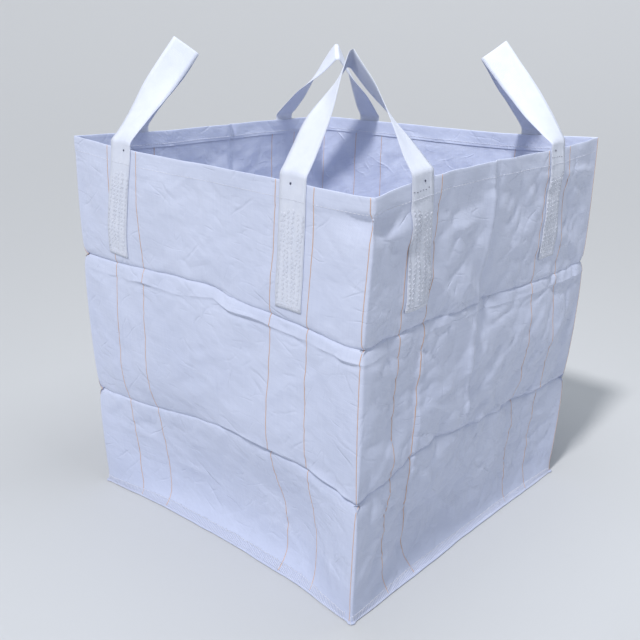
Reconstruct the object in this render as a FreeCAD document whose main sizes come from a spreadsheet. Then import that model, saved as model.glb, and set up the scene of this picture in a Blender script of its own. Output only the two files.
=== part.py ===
import FreeCAD, Part
import math
import os

import Sketcher
from FreeCAD import Placement, Rotation, Vector

# A square bulk bag (FIBC): a woven body with a turned hem, a flat base sewn in with its seam turned out,
# and four cross-corner lifting loops of flat webbing. Each loop's two sewn legs lie on the two walls that
# meet at its corner. The bag stands open on its base: +Z is up, the origin is the middle of the base's
# underside, the front wall faces -Y and the right wall faces +X. Millimetres throughout.

SIZES = [
    ("bag_width", 900, "outside of the square body"),
    ("bag_height", 940, "base to rim, standing"),
    ("cloth", 1.0, "thickness of the woven cloth with its crinkle"),
    ("hem_depth", 40, "cloth turned to the inside at the rim"),
    ("seam_width", 20, "seam allowance turned out round the base"),
    ("seam_thick", 2.0, "folded plies of that seam"),
    ("band_offset", 270, "middle of a wall to the middle of a loop band"),
    ("band_width", 100, "marker yarn to marker yarn"),
    ("strap_width", 70, "lifting webbing"),
    ("strap_thick", 2.0, "lifting webbing"),
    ("sewn_length", 260, "webbing sewn down below the rim"),
    ("pivot_rise", 40, "rim to the line that a loop swings about"),
    ("loop_rise", 225, "rim to the middle of the webbing at a loop's top"),
    ("loop_lean", 35, "degrees inward from vertical"),
    ("top_radius", 18, "webbing bent over at a loop's top"),
    ("bend_end", 10, "soft root's length past the swing line"),
    ("joint_gap", 0.3, "between a soft root and its loop"),
    ("yarn_width", 2.0, "coloured marker yarn"),
    ("yarn_proud", 0.3, "coloured marker yarn"),
    ("corner_inset", 3.0, "corner yarn from the corner edge"),
    ("thread_width", 0.9, "sewing thread"),
    ("thread_proud", 0.5, "sewing thread"),
    ("zigzag_pitch", 12, "one full zigzag of a leg's stitching"),
    ("zigzag_reach", 3.0, "half the width of a zigzag"),
    ("stitch_margin", 7.5, "edge of a leg to its outer stitch rows"),
    ("stitch_rows", 6, "zigzag rows on one leg"),
    ("hem_stitch_drop", 34, "rim to the hem's stitch line"),
    ("knot_radius", 1.5, "thread lock on a leg"),
    ("knot_drop", 20, "rim to a thread lock"),
]
WALLS = ["front", "right", "back", "left"]
CORNERS = ["front_right", "back_right", "back_left", "front_left"]
QUARTER = 90.0
UP = Vector(0, 0, 1)
CHORD = Vector(1, 1, 0).normalize()  # from a loop's first leg to its second, at the front right corner
OUTWARD = Vector(1, -1, 0).normalize()  # away from the bag at that corner
TWIST_STEPS = 14  # sections along a loop's straight side
ARC_STEPS = 8  # sections round a loop's top
BEND_STEPS = 6  # sections along a soft root
FACET_TOLERANCE = 0.001
INNER_FACE = 2  # the third edge of a webbing section, opposite the outer face

doc = FreeCAD.newDocument("bulk_bag")
parts = []


def make_sheet():
    sheet = doc.addObject("Spreadsheet::Sheet", "Sizes")
    for row, (alias, value, meaning) in enumerate(SIZES, 1):
        sheet.set(f"A{row}", alias)
        sheet.set(f"B{row}", str(value))
        sheet.setAlias(f"B{row}", alias)
        sheet.set(f"C{row}", meaning)
    doc.recompute()
    return sheet


sizes = make_sheet()


def turned(quarters):
    """A turn about +Z that carries the front wall's pieces to another wall."""
    return Placement(Vector(), Rotation(UP, QUARTER * quarters))


def object_name(label):
    """A label as one capitalised word, for the model tree."""
    return "".join(word.capitalize() for word in label.split("_"))


def keep(piece, label, quarters=0):
    piece.Label = label
    piece.Placement = turned(quarters)
    parts.append(piece)
    return piece


def in_sizes(formula):
    """An expression written with bare size names, with the sheet's name put before each."""
    for alias, _value, _meaning in sorted(SIZES, key=lambda row: -len(row[0])):
        formula = formula.replace(alias, f"Sizes.{alias}#")
    return formula.replace("#", "")


def outline(body, name, corners, level):
    """A closed polygon parallel to the body's XY plane, every corner and the level set by the sheet."""
    sketch = body.newObject("Sketcher::SketchObject", name)
    plane = [item for item in body.Origin.OriginFeatures if item.Role == "XY_Plane"][0]
    sketch.AttachmentSupport = [(plane, "")]
    sketch.MapMode = "FlatFace"
    sketch.setExpression("AttachmentOffset.Base.z", in_sizes(level))
    formulas = [(in_sizes(across), in_sizes(along)) for across, along in corners]
    points = [Vector(*[float(sketch.evalExpression(one)) for one in pair], 0) for pair in formulas]
    count = len(points)
    for index in range(count):
        sketch.addGeometry(Part.LineSegment(points[index], points[(index + 1) % count]), False)
    for index in range(count):
        sketch.addConstraint(Sketcher.Constraint("Coincident", index, 2, (index + 1) % count, 1))
    for index, (pair, point) in enumerate(zip(formulas, points)):
        for kind, formula, value in zip(("DistanceX", "DistanceY"), pair, point):
            number = sketch.addConstraint(Sketcher.Constraint(kind, -1, 1, index, 1, value))
            sketch.setExpression(f"Constraints[{number}]", formula)
    return sketch


def pad(body, sketch, length):
    feature = body.newObject("PartDesign::Pad", sketch.Name + "Pad")
    feature.Profile = sketch
    feature.setExpression("Length", in_sizes(length))
    return feature


def padded_body(label, layers, quarters=0):
    """A PartDesign body of one or more pads. A layer is its corners, the level it starts at and its height."""
    name = object_name(label)
    body = doc.addObject("PartDesign::Body", name)
    for number, (corners, level, height) in enumerate(layers):
        pad(body, outline(body, f"{name}Outline{number}", corners, level), height)
    return keep(body, label, quarters)


def strip_corners(inner, outer):
    """A mitred strip along the front: a trapezoid between two concentric squares' half widths."""
    return [
        (f"-({outer})", f"-({outer})"),
        (outer, f"-({outer})"),
        (inner, f"-({inner})"),
        (f"-({inner})", f"-({inner})"),
    ]


def box(name, start, size):
    """A Part box on the front wall whose low corner and size are set by the sheet."""
    piece = doc.addObject("Part::Box", name)
    for side, formula in zip(("Length", "Width", "Height"), size):
        piece.setExpression(side, in_sizes(formula))
    for axis, formula in zip("xyz", start):
        piece.setExpression(f"Placement.Base.{axis}", in_sizes(formula))
    return piece


def group(label, members, quarters=0):
    """Several loose solids of one kind as one sub-part."""
    compound = doc.addObject("Part::Compound", object_name(label))
    compound.Links = members
    return keep(compound, label, quarters)


def body_cloth():
    """The woven body as four mitred walls, each with its hem turned in at the rim."""
    face = strip_corners("bag_width / 2 - cloth", "bag_width / 2")
    hem = strip_corners("bag_width / 2 - 2 * cloth", "bag_width / 2 - cloth")
    for quarters, side in enumerate(WALLS):
        layers = [
            (face, "cloth", "bag_height - cloth"),
            (hem, "bag_height - hem_depth", "hem_depth"),
        ]
        padded_body(f"wall_{side}", layers, quarters)


def base():
    """The base sheet, and the seam that joins it to the body, turned out flat on its margin."""
    edge = "bag_width / 2 + seam_width"
    square = [(f"-({edge})", f"-({edge})"), (edge, f"-({edge})"), (edge, edge), (f"-({edge})", edge)]
    padded_body("base_panel", [(square, "0", "cloth")])
    for quarters, side in enumerate(WALLS):
        seam = strip_corners("bag_width / 2", edge)
        padded_body(f"base_seam_{side}", [(seam, "cloth", "seam_thick")], quarters)
        thread = box(
            f"BaseThread{quarters}",
            (
                "-(bag_width / 2)",
                "-(bag_width / 2 + seam_width / 2)",
                "cloth + seam_thick",
            ),
            ("bag_width", "thread_width", "thread_proud"),
        )
        group(f"base_stitching_{side}", [thread], quarters)


def yarns():
    """The coloured marker yarns that bound each loop band, and the one down each corner."""
    height = "bag_height - cloth - seam_thick"
    size = ("yarn_width", "yarn_proud", height)
    face = "-(bag_width / 2 + yarn_proud)"
    foot = "cloth + seam_thick"
    for quarters, side in enumerate(WALLS):
        members = []
        for sign in "+-":
            for edge in "+-":
                place = f"{sign}band_offset {edge} band_width / 2 - yarn_width / 2"
                members.append(box(f"Yarn{quarters}_{len(members)}", (place, face, foot), size))
        group(f"marker_yarns_{side}", members, quarters)
        inset = "bag_width / 2 - corner_inset - yarn_width"
        corner = box(f"CornerYarn{quarters}", (inset, face, foot), size)
        group(f"corner_yarn_{CORNERS[quarters]}", [corner], quarters)


def hem_stitching():
    """The hem's stitch line on each wall, in the three stretches that the legs leave."""
    reach = "strap_width / 2"
    near, far = f"band_offset - {reach}", f"band_offset + {reach}"
    level = "bag_height - hem_stitch_drop"
    face = "-(bag_width / 2 + thread_proud)"
    stretches = [
        ("-bag_width / 2", f"bag_width / 2 - ({far})"),
        (f"-({near})", f"2 * ({near})"),
        (far, f"bag_width / 2 - corner_inset - yarn_width - ({far})"),
    ]
    for quarters, side in enumerate(WALLS):
        runs = []
        for number, (start, length) in enumerate(stretches):
            for cut_start, cut_length in around_yarns(start, length, number):
                name = f"HemThread{quarters}_{len(runs)}"
                place = (cut_start, face, level)
                runs.append(box(name, place, (cut_length, "thread_proud", "thread_width")))
        group(f"hem_stitching_{side}", runs, quarters)


def around_yarns(start, length, stretch):
    """A hem stretch split where a marker yarn crosses it, as (start, length) expressions."""
    yarn, half = "band_width / 2", "yarn_width / 2"
    outer, inner = f"band_offset + {yarn}", f"band_offset - {yarn}"
    crossings = {
        0: [f"-({outer})"],
        1: [f"-({inner})", inner],
        2: [outer],
    }[stretch]
    pieces, low = [], start
    for crossing in crossings:
        pieces.append((low, f"({crossing}) - {half} - ({low})"))
        low = f"({crossing}) + {half}"
    pieces.append((low, f"({start}) + ({length}) - ({low})"))
    return pieces


def zigzag_row(middle, low, high, face):
    """One zigzag row of thread standing on a leg's face, as a thin solid."""
    step = sizes.zigzag_pitch / 2
    count = int((high - low) / step)
    places = [(middle + sizes.zigzag_reach * (-1) ** n, low + n * step) for n in range(count + 1)]
    half = sizes.thread_width / 2
    rim = [Vector(across - half, face, level) for across, level in places]
    rim += [Vector(across + half, face, level) for across, level in reversed(places)]
    return Part.Face(Part.makePolygon(rim + rim[:1])).extrude(Vector(0, -sizes.thread_proud, 0))


def leg_stitching(label, sign, quarters):
    """The zigzag rows that hold one leg to its wall, with a straight row across its lower end."""
    face = -(sizes.bag_width / 2 + sizes.strap_thick)
    low = sizes.bag_height - sizes.sewn_length + sizes.stitch_margin
    high = sizes.bag_height - sizes.stitch_margin
    reach = sizes.strap_width / 2 - sizes.stitch_margin
    spacing = 2 * reach / (sizes.stitch_rows - 1)
    clear = 2 * sizes.thread_width
    rows = [
        zigzag_row(sign * sizes.band_offset - reach + n * spacing, low + clear, high, face)
        for n in range(int(sizes.stitch_rows))
    ]
    across = 2 * (reach + sizes.zigzag_reach)
    corner = Vector(sign * sizes.band_offset - across / 2, face - sizes.thread_proud, low)
    rows.append(Part.makeBox(across, sizes.thread_proud, sizes.thread_width, corner))
    piece = doc.addObject("Part::Feature", object_name(label))
    piece.Shape = Part.makeCompound(rows)
    keep(piece, label, quarters)


def sewn_leg(label, sign, quarters):
    """The webbing that lies sewn on a wall, from the rim down."""
    middle = f"{sign:+d} * band_offset"
    left, right = f"{middle} - strap_width / 2", f"{middle} + strap_width / 2"
    near, far = "-bag_width / 2", "-(bag_width / 2 + strap_thick)"
    corners = [(left, far), (right, far), (right, near), (left, near)]
    layer = (corners, "bag_height - sewn_length", "sewn_length")
    padded_body(label, [layer], quarters)


def lock_knots():
    """The thread locks, one on each leg, proud of the webbing between its stitch rows."""
    row_gap = (sizes.strap_width - 2 * sizes.stitch_margin) / (sizes.stitch_rows - 1)
    knots = []
    for quarters in range(len(WALLS)):
        for sign in (1, -1):
            across = sign * (sizes.band_offset - row_gap)
            place = Vector(across, -(sizes.bag_width / 2 + sizes.strap_thick), 0)
            place.z = sizes.bag_height - sizes.knot_drop
            knot = doc.addObject("Part::Cylinder", f"Knot{quarters}_{len(knots)}")
            knot.setExpression("Radius", "Sizes.knot_radius")
            knot.setExpression("Height", "Sizes.thread_proud * 2")
            stand = Placement(place, Rotation(Vector(1, 0, 0), QUARTER))
            knot.Placement = turned(quarters).multiply(stand)
            knots.append(knot)
    group("lock_knots", knots)


# A loop is laid out at the front right corner from the middle of its swing line, along CHORD, OUTWARD and UP,
# and is then turned to its own corner.

lean = math.radians(sizes.loop_lean)
LEAN_UP = UP * math.cos(lean) - OUTWARD * math.sin(lean)
FACE_OUT = OUTWARD * math.cos(lean) + UP * math.sin(lean)
strap_middle = sizes.bag_width / 2 + sizes.strap_thick / 2
pivot_middle = OUTWARD * ((sizes.band_offset + strap_middle) / math.sqrt(2))
pivot_middle += UP * (sizes.bag_height + sizes.pivot_rise)
half_chord = (strap_middle - sizes.band_offset) / math.sqrt(2)
apex_reach = (sizes.loop_rise - sizes.pivot_rise) / math.cos(lean)
arc_centre = apex_reach - sizes.top_radius
slope = math.atan2(half_chord, arc_centre)
slope -= math.asin(sizes.top_radius / math.hypot(half_chord, arc_centre))
side_length = math.sqrt(half_chord**2 + arc_centre**2 - sizes.top_radius**2)
foot_twist = math.acos(Vector(1, 0, 0).dot(FACE_OUT))


def side_frame(distance):
    """Centre, direction and width direction of the webbing on the first side of a loop."""
    along = CHORD * math.sin(slope) + LEAN_UP * math.cos(slope)
    across = CHORD * math.cos(slope) - LEAN_UP * math.sin(slope)
    centre = pivot_middle - CHORD * half_chord + along * distance
    share = 1 - distance / side_length
    twist = foot_twist * share * share * (3 - 2 * share)
    return centre, along, FACE_OUT * math.cos(twist) + across * math.sin(twist)


def arc_frame(share):
    """The same on the arc over the top, from the end of one side to the end of the other."""
    half_turn = math.pi / 2 - slope
    turn = half_turn * (2 * share - 1)
    radial = CHORD * math.sin(turn) + LEAN_UP * math.cos(turn)
    along = CHORD * math.cos(turn) - LEAN_UP * math.sin(turn)
    return pivot_middle + LEAN_UP * arc_centre + radial * sizes.top_radius, along, FACE_OUT


def bend_frame(share):
    """The same on the soft root, from the rim, where it stands up the wall, to the start of the side."""
    end, end_along, end_width = side_frame(sizes.bend_end)
    start = pivot_middle - CHORD * half_chord - UP * sizes.pivot_rise
    reach = (end - start).Length
    one, two, three = start + UP * reach / 3, end - end_along * reach / 3, end
    rest = 1 - share
    centre = start * rest**3 + one * (3 * share * rest**2) + two * (3 * share**2 * rest) + three * share**3
    along = (one - start) * rest**2 + (two - one) * (2 * share * rest) + (three - two) * share**2
    along.normalize()
    width = Vector(1, 0, 0) * rest + end_width * share
    width -= along * width.dot(along)
    return centre, along, width.normalize()


def mirrored(frame):
    """The matching frame on the loop's other side, with its direction reversed to run on down."""
    centre, along, width = (vector - CHORD * (2 * vector.dot(CHORD)) for vector in frame)
    return centre, along * -1, width


def strap_section(frame):
    """The four corners of the webbing's flat section, in order round it."""
    centre, along, width = frame
    thick = along.cross(width)
    across, through = width * (sizes.strap_width / 2), thick * (sizes.strap_thick / 2)
    return [
        centre + across + through,
        centre - across + through,
        centre - across - through,
        centre + across - through,
    ]


def strap(label, frames, quarters):
    """A length of twisting webbing, as flat facets between its sections, split alike on both faces."""
    corners = [corner for frame in frames for corner in strap_section(frame)]
    last = len(corners) - 4
    facets = [(0, 1, 2), (0, 2, 3), (last, last + 2, last + 1), (last, last + 3, last + 2)]
    for low in range(0, last, 4):
        for edge in range(4):
            one, two = low + edge, low + (edge + 1) % 4
            if edge == INNER_FACE:
                facets += [(one, one + 4, two), (two, one + 4, two + 4)]
            else:
                facets += [(one, one + 4, two + 4), (one, two + 4, two)]
    skin = Part.Shape()
    skin.makeShapeFromMesh((corners, facets), FACET_TOLERANCE)
    solid = Part.makeSolid(skin)
    if solid.Volume < 0:
        solid.reverse()
    piece = doc.addObject("Part::Feature", object_name(label))
    piece.Shape = solid
    keep(piece, label, quarters)


def loop(quarters):
    """One loop: the free webbing that swings, and the two soft roots that let it."""
    corner = CORNERS[quarters]
    first = sizes.bend_end + sizes.joint_gap
    side = [side_frame(first + (side_length - first) * n / TWIST_STEPS) for n in range(TWIST_STEPS)]
    over = [arc_frame(n / ARC_STEPS) for n in range(ARC_STEPS + 1)]
    back = [mirrored(frame) for frame in reversed(side)]
    strap(f"loop_{corner}", side + over + back, quarters)
    bend = [bend_frame(n / BEND_STEPS) for n in range(BEND_STEPS + 1)]
    near, next_wall = WALLS[quarters], WALLS[(quarters + 1) % 4]
    strap(f"loop_{corner}_root_{near}", bend, quarters)
    strap(f"loop_{corner}_root_{next_wall}", [mirrored(frame) for frame in reversed(bend)], quarters)


def loop_legs(quarters):
    """A loop's two legs and their stitching, the first on its own wall and the second on the next."""
    corner = CORNERS[quarters]
    for sign, wall in ((1, quarters), (-1, quarters + 1)):
        side = WALLS[wall % 4]
        sewn_leg(f"loop_{corner}_leg_{side}", sign, wall)
        leg_stitching(f"loop_{corner}_stitching_{side}", sign, wall)


def check_and_write():
    """Stops on any failed object or bad shape, then writes each sub-part to its own file."""
    doc.recompute()
    failed = [item.Label for item in doc.Objects if {"Invalid", "Error"} & set(item.State)]
    bad = [item.Label for item in parts if item.Shape.isNull() or not item.Shape.isValid()]
    if failed or bad:
        raise RuntimeError(f"failed objects {failed}, bad shapes {bad}")
    os.makedirs("parts", exist_ok=True)
    for item in parts:
        item.Shape.exportStep(os.path.join("parts", item.Label + ".step"))
    print(len(parts), "sub-parts written")


body_cloth()
base()
yarns()
hem_stitching()
for number in range(len(CORNERS)):
    loop_legs(number)
    loop(number)
lock_knots()
check_and_write()
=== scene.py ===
"""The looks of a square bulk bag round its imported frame: crinkled woven cloth, turned hem, sewn base seam,
marker yarns, four webbing loops that rise from the rim, and their stitching. Metres, in the part's frame."""

import itertools
import math

import bpy
import numpy as np
from mathutils import Matrix, Vector


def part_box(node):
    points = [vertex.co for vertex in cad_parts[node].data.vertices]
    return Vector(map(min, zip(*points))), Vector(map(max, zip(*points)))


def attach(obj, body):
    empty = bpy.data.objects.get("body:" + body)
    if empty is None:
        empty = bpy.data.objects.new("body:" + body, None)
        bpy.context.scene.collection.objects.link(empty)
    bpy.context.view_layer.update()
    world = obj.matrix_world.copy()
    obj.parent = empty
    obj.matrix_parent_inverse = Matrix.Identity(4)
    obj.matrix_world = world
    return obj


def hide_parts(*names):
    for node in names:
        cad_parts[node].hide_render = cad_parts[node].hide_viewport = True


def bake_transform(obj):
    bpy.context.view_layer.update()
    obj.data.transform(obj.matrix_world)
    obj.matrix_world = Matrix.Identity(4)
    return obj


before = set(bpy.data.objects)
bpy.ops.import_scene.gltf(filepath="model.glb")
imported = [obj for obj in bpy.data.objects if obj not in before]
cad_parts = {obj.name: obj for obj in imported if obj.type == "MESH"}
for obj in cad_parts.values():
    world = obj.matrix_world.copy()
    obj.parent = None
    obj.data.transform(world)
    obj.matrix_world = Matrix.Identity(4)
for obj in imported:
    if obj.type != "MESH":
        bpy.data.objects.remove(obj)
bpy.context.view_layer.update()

WALLS = ["front", "right", "back", "left"]
FRONT, RIGHT, BACK, LEFT = range(4)
CORNERS = ["front_right", "back_right", "back_left", "front_left"]
UP = np.array([0.0, 0.0, 1.0])
CHORD = np.array([1.0, 1.0, 0.0]) / math.sqrt(2)  # at the front right corner: from its first leg to the next
OUTWARD = np.array([1.0, -1.0, 0.0]) / math.sqrt(2)  # away from the bag at that corner

# ---- sizes: first the frame's, then the scene's own

HALF, _y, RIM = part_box("wall_front")[1]
WALL = 2 * HALF
SEAM_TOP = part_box("base_seam_front")[1].z
leg_low, leg_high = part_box("loop_front_right_leg_front")
BAND = (leg_low.x + leg_high.x) / 2
STRAP = leg_high.x - leg_low.x
LEG_FOOT = leg_low.z
HALF_YARN = 0.001  # half a yarn's width in the frame
YARN_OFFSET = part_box("marker_yarns_front")[1].x - HALF_YARN - BAND  # a band's middle to a yarn's

STRAP_THICK = 0.0019
HEM_DEPTH = 0.042
HEM_GAP = 0.0024  # outer ply to the turned-in one
HEM_LINE = RIM - 0.034
THREAD = 0.00055  # thread radius
LAY = 0.0005  # what lies on the cloth stands this far off it
FLANGE = 0.005  # the base seam's plies, past the cloth's foot
FOOT = 0.004  # height of the cloth's lowest edge
YARN_WIDTH = 0.0016
YARN_PROUD = 0.0004
CORNER_INSET = 0.004  # a corner's yarn from the corner
ZIGZAG_ROWS = 6
ZIGZAG_MARGIN = 0.0075  # a leg's edge to its outer rows
ZIGZAG_REACH = 0.0034
ZIGZAG_STEP = 0.0050
TACK_DROP = 0.019  # rim to the tacks, whose dark colour is painted shade
KNOT_DROP = 0.004  # rim to a knot
KNOT_ASIDE = 0.008  # a leg's middle to its knot
KNOT_RADIUS = 0.0024
KNOT_RISE = 0.0013
VALLEY = 0.0032  # reach of a fold's sharp valley to each side
GUSSET = -0.062  # the side walls' upright crease, across the wall
CHANNEL = -0.222  # the right wall's upright channel, across the wall
LOCKSTITCH_LINE = 0.017  # height of the seam's straight stitches
RIB_PITCH, PICK_PITCH = 0.0029, 0.0022  # webbing: cords along it, threads across it
HERRINGBONE = 0.00875  # webbing: width of one slanting stretch
PLY_PITCH = 0.0016  # turns of a thread

# ---- how the cloth lies

LATTICE = np.random.default_rng(4).uniform(-1, 1, (32, 32, 32))


def smooth(share):
    share = np.clip(share, 0, 1)
    return share * share * (3 - 2 * share)


def bell(distance, width):
    return np.exp(-((distance / width) ** 2))


def crest(distance, reach):
    """1 on a sharp line, dying away on both sides of it."""
    return np.exp(-np.abs(distance) / reach)


def stacked(*parts):
    return np.stack(parts, axis=1)


def unit(vectors):
    return vectors / np.linalg.norm(vectors, axis=-1, keepdims=True)


def noise(points, size, key=0.0):
    """Smooth value noise from -1 to 1, with features of that size. Each key gives another pattern."""
    place = points / size + key * 7.31 + 100
    cell = np.floor(place).astype(int)
    part = smooth(place - cell)
    total = np.zeros(len(points))
    for corner in itertools.product((0, 1), repeat=3):
        weight = np.prod(np.where(corner, part, 1 - part), axis=1)
        total += weight * LATTICE[tuple(((cell + corner) % 32).T)]
    return total


# What varies round the bag is listed by a place: 0 to 1 along the front wall from its left corner, then
# 1 to 2 along the right wall, 2 to 3 along the back and 3 to 4 along the left. The lists are in metres.
UPPER_FOLD = {0: 0.650, 0.25: 0.664, 0.48: 0.675, 0.53: 0.673, 0.58: 0.665, 0.8: 0.654, 1: 0.645, 1.25: 0.636,
              1.5: 0.632, 1.75: 0.628, 2: 0.622, 2.4: 0.645, 2.7: 0.652, 3: 0.640, 3.5: 0.636}
LEDGE = {0: 0.042, 0.44: 0.038, 0.52: 0.028, 0.58: 0.032, 0.8: 0.026, 1: 0.024, 1.4: 0.022, 2: 0.026,
         2.5: 0.026, 3: 0.034, 3.6: 0.030}
LOWER_FOLD = {0: 0.276, 0.24: 0.284, 0.5: 0.320, 0.56: 0.322, 0.78: 0.318, 1: 0.292, 1.2: 0.338, 1.3: 0.345,
              1.5: 0.316, 2: 0.294, 2.4: 0.305, 3: 0.285, 3.5: 0.300}
LOWER_RIDGE = {0: -0.001, 0.48: 0.0, 0.58: 0.0055, 1: 0.007, 1.05: 0.003, 2: 0.0025, 2.5: 0.004, 3: 0.002}
JUT = {0: 0.0036, 0.3: 0.0030, 0.45: 0.0018, 0.56: 0.0048, 0.9: 0.0085, 1: 0.0060, 1.02: 0.0012, 1.5: 0.0013,
       1.9: 0.0022, 2: 0.0040, 2.6: 0.0045, 3: 0.0045, 3.6: 0.0040}
RIM_LIFT = {0: 0.009, 0.2: -0.001, 0.5: -0.004, 0.8: -0.008, 0.95: -0.010, 1: -0.008, 1.12: 0.004,
            1.25: 0.011, 1.45: 0.013, 1.8: 0.010, 2: 0.016, 2.3: 0.0, 2.7: -0.005, 3: -0.008, 3.3: -0.003,
            3.7: -0.001}
SLIPS = {  # by height: how far the cloth's bands are slid along the run
    0.0: {0: 0, 0.14: 0.008, 0.26: 0, 0.74: -0.022, 0.86: -0.014, 0.99: 0, 1.26: 0, 1.74: -0.016,
          1.86: -0.008, 2: 0, 3: 0},
    0.10: {0: 0, 0.2: -0.008, 0.8: -0.030, 0.99: -0.002, 1.14: -0.020, 1.26: -0.036, 1.8: -0.020, 2: 0, 3: 0},
    0.30: {0: 0, 0.2: 0, 0.8: -0.042, 0.99: -0.004, 1.14: -0.024, 1.26: -0.058, 1.8: -0.026, 2: 0, 3: 0},
    0.62: {0: 0, 0.2: 0.012, 0.8: -0.026, 0.99: -0.004, 1.14: -0.018, 1.26: -0.040, 1.8: -0.046, 2: 0, 3: 0},
    0.94: {0: 0, 0.14: 0.006, 0.26: 0.014, 0.8: -0.012, 0.99: -0.002, 1.2: -0.022, 1.8: -0.042, 2: 0, 3: 0},
}
LEG_LEANS = {  # by wall and the leg's side of it: how far its foot and its top are off its band's middle
    (FRONT, -1): (-0.036, -0.004), (FRONT, 1): (0.004, 0.0),
    (RIGHT, -1): (0.004, -0.016), (RIGHT, 1): (0.0, -0.004),
}
FOOT_BOW = {FRONT: 0.018, RIGHT: 0.008, BACK: 0.010, LEFT: 0.014}
DRAWN_IN = {0: 0.022, 0.3: 0.038, 0.8: 0.046, 1: 0.036, 1.25: 0.032, 1.8: 0.020, 2: 0.022, 2.5: 0.032,
            3: 0.024, 3.5: 0.034}
FULLEST = 0.73  # height at which the walls stand out furthest
BELLY = 0.013  # how far they stand out there
PINCH = 0.0065  # how far in they stand at the floor


def around(table, place):
    """A table's value at places, joined up round the bag."""
    return np.interp(place, list(table), list(table.values()), period=4)


def slip(place, height):
    """How far the cloth is slid along its run at places and heights."""
    place, height = np.broadcast_arrays(place, height)
    levels = np.array(list(SLIPS))
    slid = np.array([around(table, place) for table in SLIPS.values()])
    step = np.clip(np.searchsorted(levels, height, side="right") - 1, 0, len(levels) - 2)
    below = np.take_along_axis(slid, step[None], axis=0)[0]
    above = np.take_along_axis(slid, step[None] + 1, axis=0)[0]
    return below + (above - below) * smooth((height - levels[step]) / (levels[step + 1] - levels[step]))


def jitter(place, key):
    """An unevenness of about 1 or less along the bag's run, the same for every height."""
    turn_angle = place * math.pi / 2
    ring = stacked(np.cos(turn_angle), np.sin(turn_angle), 0 * turn_angle) * 0.57
    return 0.7 * noise(ring, 0.16, key) + 0.4 * noise(ring, 0.05, key + 1)


def fold_lines(place):
    """Heights of the upper fold, its ledge's lower edge and the lower fold, at places."""
    upper = around(UPPER_FOLD, place) + 0.005 * jitter(place, 40)
    under = upper - around(LEDGE, place) * (1 + 0.35 * jitter(place, 42))
    lower = around(LOWER_FOLD, place) + 0.004 * jitter(place, 44)
    return upper, under, lower


def half_width(height):
    return HALF + BELLY - (BELLY + PINCH) * (height / FULLEST - 1) ** 2


def corner_radius(height):
    return 0.0035 + 0.0030 * np.sin(np.pi * np.clip(height / RIM, 0, 1)) ** 2


def creases(run, height, lean, length, width, key):
    """Sharp creases that lean by an angle from level: ridged noise stretched along them, -0.65 to 0.35."""
    along = run * math.cos(lean) + height * math.sin(lean)
    over = height * math.cos(lean) - run * math.sin(lean)
    grain = stacked(along / length, over / width, 0 * run)
    return 0.35 - np.abs(noise(grain, 1.0, key))


def make_wrinkles(wall):
    """Straight ridges and dents scattered over one wall: where, lean, reach, width and depth of each."""
    chance = np.random.default_rng(20 + wall)
    count = 90
    steep = chance.choice([-1, 1], count) * chance.uniform(0.35, 1.25, count)
    level = chance.uniform(-0.3, 0.3, count)
    return stacked(
        chance.uniform(-0.92, 0.92, count) * HALF,
        chance.uniform(0.03, 0.9, count),
        np.where(chance.random(count) < 0.7, steep, level),
        chance.uniform(0.02, 0.12, count),
        chance.uniform(0.005, 0.012, count),
        chance.choice([-1, 1], count) * chance.uniform(0.0012, 0.0040, count),
    )


def wrinkles(wall, across, height):
    total = np.zeros(len(across))
    for number in range(4):
        here = wall == number
        x, z = across[here], height[here]
        out = np.zeros(len(x))
        for middle, level, lean, reach, width, depth in make_wrinkles(number):
            along = (x - middle) * math.cos(lean) + (z - level) * math.sin(lean)
            over = (z - level) * math.cos(lean) - (x - middle) * math.sin(lean)
            window = np.clip(1 - (along / reach) ** 2, 0, 1) ** 2
            out += depth * window * crest(over, width)
        total[here] = out
    return total


def fold_relief(points, place, height, edge):
    """The two level folds: sharp valleys with wide flanks, the upper one with a ledge jutting below it."""
    upper, under, lower = (height - line for line in fold_lines(place))
    level = points * [1, 1, 0.15]
    strength = np.clip(0.80 + 1.0 * noise(level, 0.11, 3) + 0.5 * noise(level, 0.030, 4), 0.12, 1.6)
    inner = smooth(edge / 0.05)
    rise = -0.0042 * crest(upper, np.where(upper > 0, 0.055, 0.030))
    rise += -0.0046 * crest(upper, VALLEY) * (1.3 - 0.4 * strength)
    jut = around(JUT, place) * strength * (0.30 + 0.70 * inner)
    rise += jut * crest(under, np.where(under > 0, 0.0085, 0.0030))
    rise += -0.4 * jut * bell(under + 0.008, 0.006)
    rise += -0.0075 * crest(lower, np.where(lower > 0, 0.060, 0.042)) - 0.0042 * crest(lower, VALLEY)
    ridge = around(LOWER_RIDGE, place) * strength * (0.4 + 0.6 * inner)
    rise += ridge * crest(lower - 0.009, np.where(lower > 0.009, 0.012, 0.004))
    pinch = -0.010 * np.exp(-edge / 0.020)
    return rise + pinch * (crest(upper, 0.008) + 0.7 * crest(lower, 0.007))


def facets(run, height, size, key):
    """Crisp creases between flat patches of about a size, as in crumpled paper: -1 on a crease, 0 off it."""
    bent = stacked(run, height, 0 * run + key * 0.37)
    x = run / size + 0.45 * noise(bent, size * 0.8, key)
    y = height / size * 1.15 + 0.45 * noise(bent, size * 0.8, key + 1)
    column, row = np.floor(x).astype(int), np.floor(y).astype(int)
    nearest = np.full((2, len(x)), 9.0)
    for dx, dy in itertools.product((-1, 0, 1), repeat=2):
        middle = 0.5 + 0.42 * LATTICE[(column + dx) % 32, (row + dy) % 32, key]
        gap = np.hypot(x - column - dx - middle, y - row - dy - middle)
        nearest = np.sort(np.vstack([nearest, gap]), axis=0)[:2]
    return -np.exp(-(nearest[1] - nearest[0]) / 0.16)


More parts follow.
